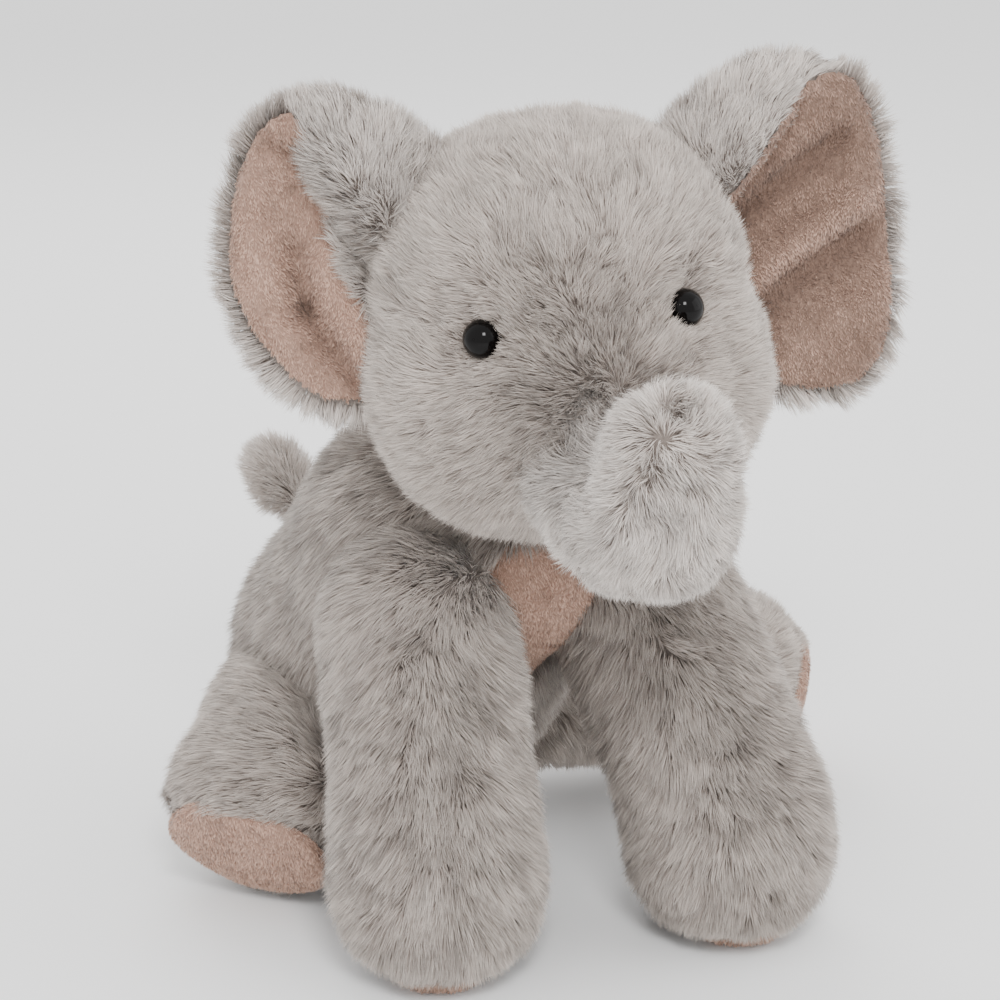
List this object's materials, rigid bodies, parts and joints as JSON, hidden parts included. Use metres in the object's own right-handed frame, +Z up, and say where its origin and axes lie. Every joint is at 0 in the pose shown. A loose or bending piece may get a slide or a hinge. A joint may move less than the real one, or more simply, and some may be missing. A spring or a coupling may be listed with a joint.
{
  "type": "stuffed elephant",
  "caption": "Sitting plush elephant in grey pile fabric with velour ears, soles and chest, a curled trunk and soft sewn limbs that spring back.",
  "frame": {"origin": "centre of the flat seat under the torso, on the floor", "axes": "+Z up from the seat; -Y the way the elephant faces; +X towards the elephant's left"},
  "size_m": [0.2093, 0.2541, 0.2448],
  "materials": {
    "grey_plush": "long soft pile",
    "beige_velour": "short velour pile",
    "fibre_fill": "loose fibre",
    "pellet_bag": "woven bag of pellets",
    "eye_black": "polished",
    "eye_washer": "moulded"
  },
  "bodies": {
    "torso": {"torso_back_left": "grey_plush", "torso_back_right": "grey_plush", "belly_panel": "beige_velour", "torso_stuffing": "fibre_fill", "pellet_pouch": "pellet_bag"},
    "neck": {"neck_stuffing": "fibre_fill"},
    "head": {"head_side_left": "grey_plush", "head_side_right": "grey_plush", "head_gusset": "grey_plush", "chin_gusset": "grey_plush", "head_stuffing": "fibre_fill", "eye_left": "eye_black", "eye_right": "eye_black", "eye_washer_left": "eye_washer", "eye_washer_right": "eye_washer"},
    "trunk": {"trunk_left_panel": "grey_plush", "trunk_right_panel": "grey_plush", "trunk_stuffing": "fibre_fill", "trunk_tip": "grey_plush"},
    "tail": {"tail_sleeve": "grey_plush", "tail_tuft": "grey_plush"},
    "ear_left": {"ear_back_left": "grey_plush", "ear_lining_left": "beige_velour"},
    "foreleg_left": {"foreleg_outer_left": "grey_plush", "foreleg_inner_left": "grey_plush", "foreleg_stuffing_left": "fibre_fill", "forefoot_sole_left": "beige_velour"},
    "hindleg_left": {"hindleg_outer_left": "grey_plush", "hindleg_inner_left": "grey_plush", "hindleg_stuffing_left": "fibre_fill", "hindfoot_sole_left": "beige_velour"},
    "ear_right": {"ear_back_right": "grey_plush", "ear_lining_right": "beige_velour"},
    "foreleg_right": {"foreleg_outer_right": "grey_plush", "foreleg_inner_right": "grey_plush", "foreleg_stuffing_right": "fibre_fill", "forefoot_sole_right": "beige_velour"},
    "hindleg_right": {"hindleg_outer_right": "grey_plush", "hindleg_inner_right": "grey_plush", "hindleg_stuffing_right": "fibre_fill", "hindfoot_sole_right": "beige_velour"}
  },
  "joints": [
    {"name": "head_turn", "type": "hinge", "parent": "torso", "child": "neck", "pos_m": [0.004, -0.076, 0.169], "axis": [0, 0, 1], "range_deg": [-10, 25], "stiffness_Nm_per_rad": 0.8},
    {"name": "head_nod", "type": "hinge", "parent": "neck", "child": "head", "pos_m": [0.004, -0.076, 0.169], "axis": [0.9744, -0.2071, 0.0872], "range_deg": [-12, 12], "stiffness_Nm_per_rad": 2},
    {"name": "trunk_bend", "type": "hinge", "parent": "head", "child": "trunk", "pos_m": [0, -0.11195, 0.15124], "axis": [0.9744, -0.2071, 0.0872], "range_deg": [-12, 10], "stiffness_Nm_per_rad": 0.8},
    {"name": "ear_fold_left", "type": "hinge", "parent": "head", "child": "ear_left", "pos_m": [0.05729, -0.07506, 0.18358], "axis": [-0.2788, 0.0593, 0.9585], "range_deg": [-12, 20], "stiffness_Nm_per_rad": 0.15},
    {"name": "ear_fold_right", "type": "hinge", "parent": "head", "child": "ear_right", "pos_m": [-0.046, -0.0531, 0.17434], "axis": [0.1117, -0.0238, 0.9935], "range_deg": [-20, 12], "stiffness_Nm_per_rad": 0.15},
    {"name": "foreleg_swing_left", "type": "hinge", "parent": "torso", "child": "foreleg_left", "pos_m": [0.03, -0.07, 0.088], "axis": [-1, 0, 0], "range_deg": [-8, 30], "stiffness_Nm_per_rad": 1.2},
    {"name": "foreleg_swing_right", "type": "hinge", "parent": "torso", "child": "foreleg_right", "pos_m": [-0.036, -0.07, 0.088], "axis": [-1, 0, 0], "range_deg": [-8, 30], "stiffness_Nm_per_rad": 1.2},
    {"name": "hindleg_spread_left", "type": "hinge", "parent": "torso", "child": "hindleg_left", "pos_m": [0.028, 0.008, 0.038], "axis": [0, 0, 1], "range_deg": [-14, 4], "stiffness_Nm_per_rad": 1.2},
    {"name": "hindleg_spread_right", "type": "hinge", "parent": "torso", "child": "hindleg_right", "pos_m": [-0.048, 0.004, 0.036], "axis": [0, 0, -1], "range_deg": [-4, 14], "stiffness_Nm_per_rad": 1.2},
    {"name": "tail_wag", "type": "hinge", "parent": "torso", "child": "tail", "pos_m": [-0.015, 0.044, 0.075], "axis": [0, 0.8, 0.6], "range_deg": [-20, 20], "stiffness_Nm_per_rad": 0.05}
  ]
}
